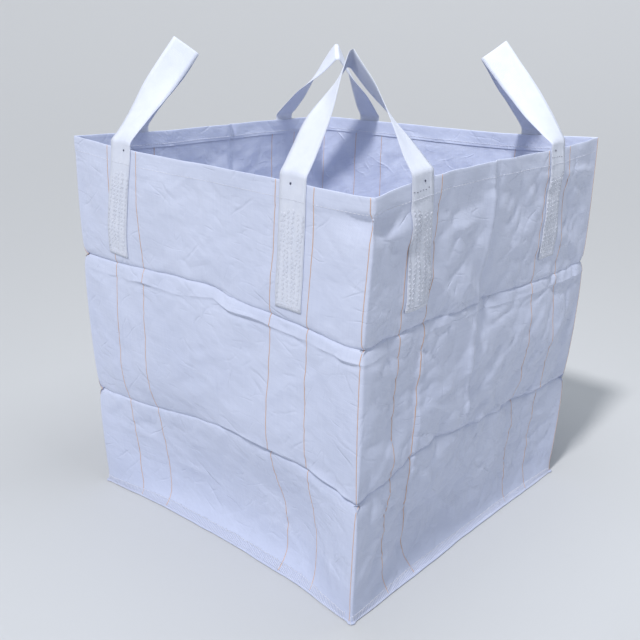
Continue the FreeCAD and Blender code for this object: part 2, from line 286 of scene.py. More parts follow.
def crumple(points, wall, across, height, run):
    """The cloth's crinkles, from hand-wide buckles down to fine creases."""
    patch = np.clip(0.7 + 1.0 * noise(points, 0.21, 6), 0.1, 1.8)
    broad = 0.0055 * noise(points, 0.17) + 0.0010 * noise(points, 0.045, 2)
    diagonal = 0.0060 * creases(run, height, 0.62, 0.24, 0.075, 11) * patch
    diagonal += 0.0050 * creases(run, height, -0.75, 0.20, 0.065, 12) * (1.6 - patch)
    rough = smooth(noise(points, 0.15, 10) * 1.6 + 0.35)
    crisp = 0.0026 * facets(run, height, 0.13, 3) * (1 - rough)
    crisp += 0.0020 * facets(run, height, 0.062, 9) * rough
    return (broad + diagonal + crisp + wrinkles(wall, across, height)) * np.where(wall == RIGHT, 1.8, 0.95)


def upright_creases(points, wall, across, height, slid):
    """The side walls' gusset crease and the right wall's channel."""
    upper = (wall % 2 == 1) * smooth((height - 0.30) / 0.05)
    middle = across - GUSSET - 0.010 * np.sin(height * 9) + 0.004 * noise(points, 0.09, 9)
    gusset = upper * (0.0100 * crest(middle, 0.008) - 0.0060 * crest(middle - 0.016, 0.02))
    channel = slid - CHANNEL
    depth = (wall == RIGHT) * smooth((height - 0.05) / 0.05) * smooth((0.64 - height) / 0.04)
    return gusset + depth * (0.0040 * crest(channel, 0.007) - 0.0050 * crest(channel + 0.022, 0.018))


def foot_relief(run, wall, across, height, place, edge):
    """What the base seam does above it: a lip, the walls bowed and drawn in, and small flutes."""
    low = 1 - smooth((height - 0.10) / 0.30)
    bow = np.array(list(FOOT_BOW.values()))[wall] * (1 - (across / HALF) ** 2)
    flare = 0.004 * np.exp(-height / 0.020) - bow * low
    flare += -around(DRAWN_IN, place) * smooth(edge / 0.24) * (1 - np.exp(-height / 0.030)) * low
    flutes = stacked(run, 0.3 * height, 0 * run)
    return flare + 0.0020 * noise(flutes, 0.024, 16) * bell(height - 0.035, 0.025)


def hem_relief(wall, across, edge, below_rim):
    """The pleat under the hem, drawn deep beside the front right corner and faint elsewhere."""
    strained = (wall == FRONT) * smooth(1 - (HALF - across) / 0.15)
    strained = np.maximum(strained, (wall == RIGHT) * smooth(1 - (HALF + across) / 0.13))
    strained = strained * (0.45 + 0.55 * smooth(edge / 0.02))
    tuck = np.interp(below_rim - HEM_DEPTH, [-0.012, 0.0, 0.007, 0.045], [0.002, -0.0085, -0.0105, 0])
    return tuck * (0.02 + 1.1 * strained)


def relief(points, wall, across, height, place):
    """How far the cloth stands out of its plain wall."""
    edge, below_rim = HALF - np.abs(across), RIM - height
    run = place * WALL
    slid = run - slip(place, height) - wall * WALL - HALF
    legs = sum(bell(slid - side * BAND, 0.040) for side in (-1, 1))
    leg_zone = legs * smooth((height - LEG_FOOT + 0.05) / 0.05)
    calm = smooth(edge / 0.045) * (1 - 0.8 * leg_zone) * (0.35 + 0.65 * smooth((below_rim - 0.02) / 0.05))
    calm = calm * smooth((height + 0.004) / 0.10)
    sag = 0.0075 * noise(points, 0.37, 5) + np.where(wall == RIGHT, 0.008, 0.002) * noise(points, 0.20, 15)
    sag = sag * smooth(edge / 0.12) * smooth(height / 0.08)
    pull = -0.007 * legs * np.exp(-below_rim / 0.05)
    ripple = 0.0016 * np.sin(run * 38 + 3 * noise(points, 0.2, 8))
    ripple = ripple * smooth((0.05 - below_rim) / 0.03) * (1 - legs)
    total = fold_relief(points, place, height, edge) + crumple(points, wall, across, height, run) * calm + sag
    total += upright_creases(points, wall, across, height, slid)
    total += foot_relief(run, wall, across, height, place, edge)
    return total + pull + ripple + hem_relief(wall, across, edge, below_rim)


def turn(vectors, quarters):
    """Vectors turned about +Z by quarter turns, one number for all or one for each."""
    quarters = np.broadcast_to(quarters, vectors.shape[:-1]) % 4
    cosine, sine = np.array([1, 0, -1, 0])[quarters], np.array([0, 1, 0, -1])[quarters]
    x, y, z = vectors[..., 0], vectors[..., 1], vectors[..., 2]
    return np.stack([x * cosine - y * sine, x * sine + y * cosine, z], axis=-1)


def shaped(wall, across, height):
    """The cloth's own points at places on the walls."""
    half, radius = half_width(height), corner_radius(height)
    flat = half - radius
    side = across / HALF * half
    angle = np.clip((np.abs(side) - flat) / radius, 0, 1) * math.pi / 4
    straight = np.minimum(np.abs(side), flat)
    sign = np.sign(side)
    out = turn(stacked(sign * np.sin(angle), -np.cos(angle), 0 * side), wall)
    x = sign * (straight + radius * np.sin(angle))
    y = -(flat + radius * np.cos(angle))
    base = turn(stacked(x, y, height), wall)
    place = (wall + across / WALL + 0.5) % 4
    corner = np.where(across > 0, wall, wall - 1)
    chord = turn(np.tile(CHORD, (len(wall), 1)), corner)
    drift = 0.003 - 0.011 * smooth((0.88 - height) / 0.25) * (corner == CORNERS.index("front_right"))
    drift = (drift + 0.004 * noise(base, 0.3, 7)) * smooth(1 - (HALF - np.abs(across)) / 0.2)
    lift = around(RIM_LIFT, place) * smooth(height / RIM)
    stands = relief(base, wall, across, height, place)
    return base + out * stands[:, None] + chord * drift[:, None] + UP * lift[:, None]


# ---- the cloth as a grid that all else lies on

def grid_columns():
    """Where the cloth's columns stand, by wall and place across it: even, and closer at a wall's ends."""
    even = np.linspace(-HALF, HALF, 131)[2:-2]
    ends = HALF - np.array([0.0025, 0.005, 0.0075, 0.010, 0.0135])
    across = np.sort(np.r_[-HALF, -ends, even, ends])
    return np.repeat(np.arange(4), len(across)), np.tile(across, 4)


def grid_heights(place):
    """Heights of the cloth's rows at places. They follow the folds and are closest together there."""
    upper, under, lower = fold_lines(place)
    level = 0 * place
    stops = [
        (level + FOOT, 0), (level + 0.012, 3), (level + 0.050, 7), (lower - 0.040, 26), (lower - 0.008, 5),
        (lower + 0.004, 8), (lower + 0.020, 8), (under - 0.030, 31), (under - 0.008, 5), (under + 0.003, 7),
        (upper - 0.005, 5), (upper + 0.004, 7), (upper + 0.020, 4), (level + RIM - 0.060, 25),
        (level + HEM_LINE, 6), (level + RIM - 0.001, 6),
    ]
    rows = [stops[0][0]]
    for (start, _), (end, count) in zip(stops, stops[1:]):
        rows += [start + (end - start) * step / count for step in range(1, count + 1)]
    return np.array(rows)


GRID_WALL, GRID_ACROSS = grid_columns()
GRID_RUN = (GRID_WALL + GRID_ACROSS / WALL + 0.5) * WALL
GRID_HEIGHT = grid_heights(GRID_RUN / WALL)
GRID_POINT = shaped(
    np.tile(GRID_WALL, len(GRID_HEIGHT)), np.tile(GRID_ACROSS, len(GRID_HEIGHT)), GRID_HEIGHT.ravel()
).reshape(*GRID_HEIGHT.shape, 3)
GRID_ALONG = np.roll(GRID_POINT, -1, 1) - np.roll(GRID_POINT, 1, 1)
GRID_OUT = unit(np.cross(GRID_ALONG, np.gradient(GRID_POINT, axis=0)))


def on_cloth(run, height, off=0.0):
    """Points that far off the cloth, at places along its run and up it, with the way out at each."""
    run, height, off = np.broadcast_arrays(np.asarray(run, float) % (4 * WALL), height, off)
    shape, run, height, off = run.shape, run.ravel(), height.ravel(), off.ravel()
    column = np.searchsorted(GRID_RUN, run, side="right") - 1
    after = (column + 1) % len(GRID_RUN)
    u = (run - GRID_RUN[column]) / ((GRID_RUN[after] - GRID_RUN[column]) % (4 * WALL))
    levels = GRID_HEIGHT[:, column] * (1 - u) + GRID_HEIGHT[:, after] * u
    row = np.clip((levels <= height).sum(0) - 1, 0, len(levels) - 2)
    each = np.arange(len(run))
    v = (height - levels[row, each]) / (levels[row + 1, each] - levels[row, each])
    point, out = np.zeros((len(run), 3)), np.zeros((len(run), 3))
    for r, c, weight in ((row, column, (1 - u) * (1 - v)), (row, after, u * (1 - v)),
                         (row + 1, column, (1 - u) * v), (row + 1, after, u * v)):
        point += GRID_POINT[r, c] * weight[:, None]
        out += GRID_OUT[r, c] * weight[:, None]
    out = unit(out)
    return (point + out * off[:, None]).reshape(*shape, 3), out.reshape(*shape, 3)


def run_at(wall, across, height=0.5):
    """The run of a place on a wall, slid round as the cloth's bands are at a height."""
    run = (wall + across / WALL + 0.5) * WALL
    return run + slip(run / WALL, np.asarray(height))


def leg_run(wall, sign, height):
    """The run of the middle of a leg, which leans to one side as it climbs to the rim."""
    foot, top = LEG_LEANS.get((wall, sign), (0.0, 0.0))
    share = smooth((np.asarray(height) - LEG_FOOT) / (RIM - LEG_FOOT))
    return run_at(wall, sign * BAND, height) + foot + (top - foot) * share


# ---- mesh making

def placed(name, data):
    """A new object in the scene."""
    made = bpy.data.objects.new(name, data)
    bpy.context.scene.collection.objects.link(made)
    return made


def new_piece(name, points, faces, uv=None):
    """A mesh object from points, faces and a (u, v) in metres for each point."""
    mesh = bpy.data.meshes.new(name)
    mesh.from_pydata(np.asarray(points).tolist(), [], [tuple(map(int, face)) for face in faces])
    if uv is not None:
        layer = mesh.uv_layers.new(name="cloth")
        corners = np.zeros(len(mesh.loops), int)
        mesh.loops.foreach_get("vertex_index", corners)
        layer.data.foreach_set("uv", np.asarray(uv)[corners].astype(np.float32).ravel())
    mesh.shade_smooth()
    mesh.update()
    return placed(name, mesh)


def grid_faces(rows, columns, closed=False, first=0):
    """Quads of a grid whose points run along each row in turn. closed joins the last column to the first."""
    row, column = np.mgrid[0:rows - 1, 0:columns if closed else columns - 1]
    row, column = row.ravel(), column.ravel()
    after = (column + 1) % columns
    here, above = row * columns, (row + 1) * columns
    return stacked(here + column, here + after, above + after, above + column) + first


def tubes(name, paths, radius, sides=5):
    """Round threads along paths, each a list of points with the outward direction there."""
    points, faces, uv = [], [], []
    for path, outs in paths:
        path, outs = np.asarray(path), np.asarray(outs)
        along = unit(np.gradient(path, axis=0))
        beside = unit(np.cross(along, outs))
        raised = np.cross(beside, along)
        first = sum(map(len, points))
        turns = np.arange(sides) * 2 * math.pi / sides
        ring = beside[:, None] * np.cos(turns)[None, :, None] + raised[:, None] * np.sin(turns)[None, :, None]
        points.append((path[:, None] + ring * radius).reshape(-1, 3))
        faces.extend(grid_faces(len(path), sides, True, first).tolist())
        last = first + (len(path) - 1) * sides
        faces.append(list(range(first + sides - 1, first - 1, -1)))
        faces.append(list(range(last, last + sides)))
        run = np.r_[0, np.cumsum(np.linalg.norm(np.diff(path, axis=0), axis=1))]
        uv.append(stacked(np.tile(turns * radius, len(path)), np.repeat(run, sides)))
    return new_piece(name, np.vstack(points), faces, np.vstack(uv))


# ---- the body cloth

def run_uv(along):
    """The grid columns' runs, each with that distance along the cloth."""
    return stacked(GRID_RUN, 0 * GRID_RUN + along)


def body_cloth():
    """The woven tube with its hem turned in: one sheet, open at the base seam."""
    rows = list(GRID_POINT)
    uv = [run_uv(height) for height in GRID_HEIGHT]
    for angle in np.linspace(0.25, 0.75, 3) * math.pi:
        inset = -HEM_GAP / 2 * (1 - math.cos(angle))
        rows.append(on_cloth(GRID_RUN, RIM - 0.001 + 0.001 * math.sin(angle), inset)[0])
        uv.append(run_uv(RIM + HEM_GAP * angle / math.pi))
    for drop in np.linspace(0.002, HEM_DEPTH, 8):
        rows.append(on_cloth(GRID_RUN, RIM - drop, -HEM_GAP)[0])
        uv.append(run_uv(RIM + HEM_GAP + drop))
    faces = grid_faces(len(rows), len(GRID_RUN), True)
    return close_run(new_piece("body_cloth", np.vstack(rows), faces, np.vstack(uv)))


def close_run(piece):
    """Carries the run on past its end in the last column of faces, which joins it to its start."""
    layer = piece.data.uv_layers["cloth"].data
    uv = np.zeros(2 * len(layer), np.float32)
    layer.foreach_get("uv", uv)
    uv = uv.reshape(-1, 4, 2)
    last = uv[:, :, 0].max(1) - uv[:, :, 0].min(1) > HALF
    uv[:, :, 0] += 4 * WALL * (last[:, None] & (uv[:, :, 0] < HALF))
    layer.foreach_set("uv", uv.ravel())
    return piece


# ---- base sheet and seam

def seam_reach(run, share=1.0):
    """How far out the seam's edge lies past the cloth's foot: wavy, with a folded ear at each corner."""
    ring = on_cloth(run, FOOT)[0]
    edge = HALF - np.abs(run % WALL - HALF)
    wave = 0.0016 * noise(ring, 0.05, 11) + 0.0014 * noise(ring, 0.16, 12)
    return share * (FLANGE + wave - 0.003 * smooth(1 - edge / 0.09) + 0.0045 * bell(edge, 0.007))


def ring_at(reach, height):
    """A ring of points round the foot, level and that far out from it."""
    foot, out = on_cloth(GRID_RUN, FOOT)
    ring = foot + unit(out * [1, 1, 0]) * np.asarray(reach)[..., None]
    ring[:, 2] = height
    return ring


def base_seam():
    """The folded plies of the seam, a thick flat strip with a wavy edge, lying on the base sheet's margin."""
    profile = [(-0.2, 0.0015), (0.6, 0.0016), (0.98, 0.0015), (1.0, 0.0022), (0.98, 0.0029), (0.5, 0.0034),
               (0.1, 0.0044), (-0.2, 0.0052)]
    rows, uv = [], []
    for number, (share, level) in enumerate(profile):
        ring = ring_at(seam_reach(GRID_RUN, share), level)
        ring[:, 2] += 0.0005 * noise(ring, 0.04, 13) * (level > SEAM_TOP)
        rows.append(ring)
        uv.append(run_uv(number * 0.004))
    count, last = len(GRID_RUN), len(rows) - 1
    closing = np.arange(count)
    after = (closing + 1) % count
    faces = np.vstack([
        grid_faces(len(rows), count, True),
        stacked(last * count + closing, last * count + after, after, closing),
    ])
    return close_run(new_piece("base_seam", np.vstack(rows), faces, np.vstack(uv)))


def base_sheet():
    """The square base: flat under the seam, faintly rippled inside."""
    ring = ring_at(seam_reach(GRID_RUN) - 0.001, 0.001)
    rows = []
    for share in np.r_[1.0, 0.985, 0.97, 0.955, 0.94, np.linspace(0.90, 0.03, 36)]:
        points = ring * [share, share, 1]
        flat = points * [1, 1, 0]
        inside = smooth((0.93 - share) / 0.1)
        ripple = 0.0012 + 0.0022 * noise(flat, 0.11, 14) + 0.0018 * noise(flat, 0.3, 15)
        points[:, 2] = 0.0010 + inside * np.clip(ripple, 0, 0.006)
        rows.append(points)
    count, last = len(ring), (len(rows) - 1) * len(ring)
    faces = grid_faces(len(rows), count, True).tolist() + [[last + k for k in range(count)]]
    points = np.vstack(rows)
    return new_piece("base_sheet", points, faces, points[:, :2] + 1)


def stitches(middle, low, high, pitch, length):
    """Runs of a row of straight stitches from low to high of a middle, four points in each."""
    return middle + np.arange(low, high, pitch)[:, None] + np.linspace(0, length, 4)


def seam_stitching(number):
    """One side's seam thread: a row of lockstitches above the plies and an overedge stitch round them."""
    middle = run_at(number, 0.0, 0)
    run = stitches(middle, -HALF + 0.008, HALF - 0.014, 0.0080, 0.0062)
    paths = list(zip(*on_cloth(run, LOCKSTITCH_LINE, np.array([-0.0003, 0.0006, 0.0006, -0.0003]))))
    starts = np.arange(-HALF + 0.006, HALF - 0.006, 0.0052)
    chance = np.random.default_rng(70 + number).uniform(-0.002, 0.002, len(starts))
    lean = np.array([0.0, 0.0004, 0.0008, 0.0012, 0.0014, 0.0014])
    run = middle + starts[:, None] + lean
    heights = np.array([0.018, 0.011, FOOT + 0.001]) + chance[:, None] * [1, 0.5, 0]
    upper, upper_out = on_cloth(run[:, :3], heights, 0.0007)
    for row in range(len(starts)):
        foot, out = on_cloth(run[row, 3:], FOOT)
        reach = seam_reach(run[row, 3:]) * [0.9, 1.06, 0.9]
        edge = foot + out * [1, 1, 0] * reach[:, None]
        edge[:, 2] = [0.0036, 0.0022, 0.0011]
        paths.append((np.vstack([upper[row], edge]), np.vstack([upper_out[row], out])))
    return tubes(f"seam_thread_{WALLS[number]}", paths, 0.00065, 4)


# ---- yarns

def yarns(name, number, middles):
    """Coloured yarns woven into a wall: thin flat ribbons, just proud on both faces, that wander a little."""
    points, faces, uv = [], [], []
    for line, middle in enumerate(middles):
        heights = GRID_HEIGHT[:, np.searchsorted(GRID_RUN, run_at(number, middle))]
        track = stacked(heights, np.full(len(heights), number + middle), 0 * heights)
        run = run_at(number, middle, heights) + 0.0030 * noise(track, 0.22, 21 + line)
        rings = [
            on_cloth(run + side * YARN_WIDTH / 2, heights, face * YARN_PROUD)[0]
            for side, face in ((-1, 1), (1, 1), (1, -1), (-1, -1))
        ]
        first, count = len(heights) * 4 * line, len(heights)
        points.append(stacked(*rings).reshape(-1, 3))
        faces += grid_faces(count, 4, True, first).tolist()
        faces += [[first + 3, first + 2, first + 1, first], [first + 4 * count - k for k in (4, 3, 2, 1)]]
        breadths = np.tile([0, YARN_WIDTH, YARN_WIDTH, 0], count)
        uv.append(stacked(breadths, np.repeat(heights, 4)))
    return new_piece(name, np.vstack(points), faces, np.vstack(uv))


# ---- webbing loops

ACROSS = np.linspace(-0.5, 0.5, 9)
EDGES = np.where(np.abs(ACROSS) == 0.5, 0.45, 1.0)  # the webbing is thinner at its selvedges
RISE, REACH_IN = 0.2127, 0.1295  # from the rim to a loop's top: up, and in over the bag
FOLD = 0.012  # how far from its top each side of a loop begins to turn over
STRAIGHT_UP = 0.012  # how far a leg goes on up past the rim
SIDE_FOOT = 0.018  # rim to where a loop's free side is aimed from

# How each loop hangs: its top moved along its chord, outward and up, then for each side the bow away from
# straight and how late the side twists.
LOOPS = {
    "front_right": ((-0.008, 0.0, -0.006), (0.004, 2.2), (0.006, 0.7)),
    "back_right": ((0.006, -0.020, -0.008), (0.003, 0.45), (-0.006, 1.2)),
    "back_left": ((-0.016, -0.010, -0.018), (0.004, 1.0), (0.003, 1.3)),
    "front_left": ((0.0, -0.020, 0.0), (0.003, 1.2), (0.004, 1.0)),
}


def section(centre, along, width):
    """A flat section of webbing: nine points on its outer face, then nine back on its inner."""
    thick = np.cross(along, width)
    thick *= STRAP_THICK / 2 / np.linalg.norm(thick)
    outer = centre + np.outer(ACROSS * STRAP, width) - np.outer(EDGES, thick)
    inner = centre + np.outer(ACROSS[::-1] * STRAP, width) + np.outer(EDGES, thick)
    return np.vstack([outer, inner])


def leg(wall, sign):
    """Sections of one leg from its foot to the rim, lying on the cloth and following it."""
    heights = np.linspace(LEG_FOOT, RIM - 0.003, 46)[:, None]
    run = leg_run(wall, sign, heights) + ACROSS * STRAP * sign
    middle, half = LAY + STRAP_THICK / 2, STRAP_THICK / 2 * EDGES
    outer = on_cloth(run, heights, middle + half)[0]
    inner = on_cloth(run[:, ::-1], heights, middle - half)[0]
    return np.concatenate([outer, inner], axis=1)


def free_side(foot, top, foot_width, top_width, bow_way, bow, late):
    """Sections of a loop's free side from its foot towards its top, twisting as it rises."""
    whole = np.linalg.norm(top - foot)
    along = (top - foot) / whole
    found = []
    for share in np.linspace(0.070, 1 - FOLD / whole, 28):
        width = foot_width + (top_width - foot_width) * float(smooth(share)) ** late
        width = width - along * (width @ along)
        centre = foot + along * whole * share + bow_way * bow * math.sin(math.pi * share) ** 2
        found.append(section(centre, along, width / np.linalg.norm(width)))
    return found


def swapped(points):
    """A section with its outer and inner faces changed over, for a side that is followed downwards."""
    return np.vstack([points[:8:-1], points[8::-1]])


def bridge(low, lower, high, higher, count, pull=1.0):
    """Sections between two stretches of webbing, each point on a smooth curve from one to the other."""
    reach = np.linalg.norm(high.mean(0) - low.mean(0)) * pull
    start = (low - lower) / np.linalg.norm(low.mean(0) - lower.mean(0)) * reach
    end = (higher - high) / np.linalg.norm(higher.mean(0) - high.mean(0)) * reach
    found = []
    for t in np.linspace(0, 1, count + 1)[1:-1]:
        found.append(
            low * (2 * t**3 - 3 * t**2 + 1) + start * (t**3 - 2 * t**2 + t)
            + high * (3 * t**2 - 2 * t**3) + end * (t**3 - t**2)
        )
    return found


def loop(corner):
    """One loop's webbing in a single strap: up a wall, over its corner and down the next wall."""
    number = CORNERS.index(corner)
    chord, outward = turn(CHORD, number), turn(OUTWARD, number)
    shift, first_side, second_side = LOOPS[corner]
    legs = [leg(number, 1), leg((number + 1) % 4, -1)]
    feet = [each[-1].mean(0) + UP * SIDE_FOOT for each in legs]
    top = sum(feet) / 2 + UP * (RISE + shift[2]) + outward * (shift[1] - REACH_IN) + chord * shift[0]
    top_width = np.cross(chord, top - sum(feet) / 2)
    top_width /= np.linalg.norm(top_width)
    foot_widths = [turn(np.array([1.0, 0, 0]), number), turn(np.array([0, -1.0, 0]), number)]
    up = free_side(feet[0], top, foot_widths[0], top_width, -chord, *first_side)
    down = free_side(feet[1], top, foot_widths[1], top_width, chord, *second_side)
    down = [swapped(each) for each in down[::-1]]
    climb, fall = ([*each, each[-1] + UP * STRAIGHT_UP] for each in legs)
    fall = fall[::-1]
    sections = climb + bridge(climb[-1], climb[-2], up[0], up[1], 7) + up
    sections += bridge(up[-1], up[-2], down[0], down[1], 9, 1.3) + down
    sections += bridge(down[-1], down[-2], fall[0], fall[1], 7) + fall
    points = np.vstack(sections)
    free = smooth((points[:, 2] - RIM - 0.01) / 0.05)[:, None]
    points = points + free * 0.0011 * stacked(*[noise(points, 0.045, key) for key in (31, 32, 33)])
    ring, last = len(sections[0]), (len(sections) - 1) * len(sections[0])
    faces = [face[::-1] for face in grid_faces(len(sections), ring, True).tolist()]
    for k in range(8):
        faces.append([k, k + 1, ring - 2 - k, ring - 1 - k])
        faces.append([last + ring - 1 - k, last + ring - 2 - k, last + k + 1, last + k])
    middles = np.array([each.mean(0) for each in sections])
    run = np.r_[0, np.cumsum(np.linalg.norm(np.diff(middles, axis=0), axis=1))]
    across = np.r_[ACROSS, ACROSS[::-1]] * STRAP + 0.04
    uv = stacked(np.tile(across, len(sections)), np.repeat(run, ring))
    return new_piece(f"lifting_loop_{corner}", points, faces, uv)


# ---- stitching and knots

def leg_stitching(corner, wall_side):
    """The zigzag rows through one leg, with straight rows across its foot and at the hem line."""
    number, wall = CORNERS.index(corner), WALLS.index(wall_side)
    sign = 1 if number == wall else -1
    chance = np.random.default_rng(50 + 2 * number + (sign > 0))
    face = LAY + STRAP_THICK + THREAD * 0.35
    paths = []
    for row in np.linspace(-STRAP / 2 + ZIGZAG_MARGIN, STRAP / 2 - ZIGZAG_MARGIN, ZIGZAG_ROWS):
        low = LEG_FOOT + 0.010 + chance.uniform(0, 0.004)
        heights = np.arange(low, RIM - 0.055 + chance.uniform(-0.008, 0.006), ZIGZAG_STEP)
        swing = ZIGZAG_REACH * (-1.0) ** np.arange(len(heights)) + chance.normal(0, 0.0007, len(heights))
        drift = 0.0022 * np.sin(heights * 19 + chance.uniform(0, 6))
        drift += 0.001 * np.sin(heights * 53 + row * 900)
        run = leg_run(wall, sign, heights) + row + swing + drift
        ends, out = on_cloth(run, heights, face - 0.0004)
        middles = (ends[:-1] + ends[1:]) / 2 + out[:-1] * 0.0009
        path = np.empty((2 * len(heights) - 1, 3))
        path[0::2], path[1::2] = ends, middles
        paths.append((path, np.repeat(out, 2, axis=0)[:-1]))
    rise = np.array([-0.0004, 0.0004, 0.0004, -0.0004])
    length = 0.0075
    for level in (LEG_FOOT + 0.006, LEG_FOOT + 0.009, HEM_LINE):
        run = stitches(leg_run(wall, sign, level), -STRAP / 2 + 0.003, STRAP / 2 - length, 0.0095, length)
        paths += zip(*on_cloth(run, level, face + rise))
    return tubes(f"zigzag_{corner}_{wall_side}", paths, THREAD, 5)


def hem_stitching(number):
    """The hem's lockstitches on one wall, seen on both faces, left out outside where a leg covers them."""
    rise = np.array([-0.0004, 0.0003, 0.0003, -0.0004])
    run = stitches((number + 0.5) * WALL, -HALF + 0.006, HALF - 0.012, 0.0094, 0.0072)
    outer = on_cloth(run, HEM_LINE, rise + THREAD * 0.1)
    inner = on_cloth(run, HEM_LINE, -HEM_GAP - rise - THREAD * 0.6)
    legs = np.array([leg_run(number, side, HEM_LINE) for side in (-1, 1)])
    covered = (np.abs(run[:, :1] - legs) < STRAP / 2 + 0.006).any(axis=1)
    paths = [pair for pair, hidden in zip(zip(*outer), covered) if not hidden]
    paths += [(points, -out) for points, out in zip(*inner)]
    return tubes(f"hem_thread_{WALLS[number]}", paths, THREAD, 5)


def rim_tacks():
    """A row of tacking stitches across each leg of the right wall, just below the rim, in the dark lock
    thread as painted shade: the stitches there lie in shadow.
    """
    paths = []
    rise = np.array([-0.0003, 0.0003, 0.0003, -0.0003])
    for sign in (-1, 1):
        chance = np.random.default_rng(92 + (sign > 0))
        run = stitches(leg_run(RIGHT, sign, RIM), -STRAP / 2 + 0.004, STRAP / 2 - 0.008, 0.0098, 0.0052)
        heights = RIM - TACK_DROP + chance.uniform(-0.0015, 0.0015, len(run))
        paths += zip(*on_cloth(run, heights[:, None], LAY + STRAP_THICK + rise))
    return tubes("rim_tacks", paths, 0.00045, 5)


def lock_knots():
    """A dark thread lock at the top of each leg: a small rough ball of knotted thread."""
    points, faces = [], []
    rings, turns = 5, 10
    for number, sign in itertools.product(range(4), (1, -1)):
        run = leg_run(number, sign, RIM) - KNOT_ASIDE * sign
        centre, out = on_cloth(run, RIM - KNOT_DROP, LAY + STRAP_THICK + 0.0003)
        facing = Vector(out).to_track_quat("Z", "Y").to_matrix().to_4x4()
        stand = Matrix.Translation(Vector(centre)) @ facing
        first = len(points)
        for ring, step in itertools.product(range(rings), range(turns)):
            lift, angle = ring / (rings - 1) * math.pi / 2, step / turns * 2 * math.pi
            lump = 1 + 0.14 * math.sin(3 * angle + number + ring)
            reach = KNOT_RADIUS * math.cos(lift) * lump + 0.0001
            spot = reach * math.cos(angle), reach * math.sin(angle), KNOT_RISE * math.sin(lift)
            points.append(stand @ Vector(spot))
        faces += grid_faces(rings, turns, True, first).tolist()
        faces.append([first + (rings - 1) * turns + k for k in range(turns)])
        faces.append([first + k for k in range(turns)][::-1])
    return new_piece("thread_locks", points, faces)


# ---- materials

class Finish:
    """A node material under one Principled shader, and the slot of that name."""

    def __init__(self, name, colour, roughness, **fixed):
        self.slot = name
        self.material = bpy.data.materials.new(name)
        self.material.use_nodes = True
        self.tree = self.material.node_tree
        self.shader = next(n for n in self.tree.nodes if n.type == "BSDF_PRINCIPLED")
        self.shader.inputs["Base Color"].default_value = (*colour, 1)
        self.shader.inputs["Roughness"].default_value = roughness
        for socket, value in fixed.items():
            self.shader.inputs[socket.replace("_", " ")].default_value = value

    def node(self, kind, settings=None, **inputs):
        """A new node. An input, by name or as i and its number, is a value or another node's output."""
        made = self.tree.nodes.new(kind)
        for key, value in (settings or {}).items():
            setattr(made, key, value)
        for key, value in inputs.items():
            numbered = key[0] == "i" and key[1:].isdigit()
            socket = made.inputs[int(key[1:]) if numbered else key.replace("_", " ")]
            if isinstance(value, bpy.types.NodeSocket):
                self.tree.links.new(value, socket)
            else:
                socket.default_value = value
        return made

    def maths(self, operation, *values):
        inputs = {f"i{number}": value for number, value in enumerate(values)}
        return self.node("ShaderNodeMath", {"operation": operation}, **inputs).outputs[0]

    def add(self, one, other):
        return self.maths("ADD", one, other)

    def times(self, one, other):
        return self.maths("MULTIPLY", one, other)

    def wave(self, value, pitch):
        return self.maths("SINE", self.times(value, 2 * math.pi / pitch))

    def run_across(self):
        """The mesh's own (u, v), in metres, as two outputs."""
        uv = self.node("ShaderNodeUVMap", {"uv_map": "cloth"})
        split = self.node("ShaderNodeSeparateXYZ", i0=uv.outputs[0])
        return uv.outputs[0], split.outputs[0], split.outputs[1]

    def place(self):
        return self.node("ShaderNodeTexCoord").outputs["Object"]

    def speckle(self, vector, scale, detail=2.0):
        return self.node("ShaderNodeTexNoise", Vector=vector, Scale=scale, Detail=detail).outputs["Fac"]

    def stretched(self, vector, lean, length, width):
        """The vector turned by an angle and scaled, for a pattern that long and wide, in metres."""
        turned = self.node("ShaderNodeVectorRotate", {"rotation_type": "Z_AXIS"}, Vector=vector, Angle=lean)
        scale = 1 / length, 1 / width, 1
        return self.node("ShaderNodeMapping", Vector=turned.outputs[0], Scale=scale).outputs[0]

    def warped(self, vector, scale, reach):
        """The vector pushed about by a noise, so that a pattern on it doesn't run true."""
        push = self.node("ShaderNodeTexNoise", Vector=vector, Scale=scale, Detail=1.0).outputs["Color"]
        push = self.node("ShaderNodeVectorMath", {"operation": "SCALE"}, i0=push, Scale=reach).outputs[0]
        return self.node("ShaderNodeVectorMath", i0=vector, i1=push).outputs[0]

    def crease(self, uv, lean, length, width):
        """Thin lines along a lean, where a stretched noise is at its middle: -1 on one, 0 off it."""
        grain = self.speckle(self.stretched(uv, lean, length, width), 1.0, 0.6)
        return self.spread(self.maths("ABSOLUTE", self.maths("SUBTRACT", grain, 0.5)), 0, 0.030, -1, 0)

    def link(self, output, socket):
        self.tree.links.new(output, self.shader.inputs[socket])

    def paint(self, factor, dark, light):
        mix = self.node("ShaderNodeMix", {"data_type": "RGBA"}, i0=factor, i6=(*dark, 1), i7=(*light, 1))
        self.link(mix.outputs[2], "Base Color")

    def spread(self, value, low, high, new_low, new_high):
        return self.node("ShaderNodeMapRange", i0=value, i1=low, i2=high, i3=new_low, i4=new_high).outputs[0]

    def bump(self, height, distance, strength=1.0):
        bump = self.node("ShaderNodeBump", Height=height, Distance=distance, Strength=strength)
        self.link(bump.outputs[0], "Normal")


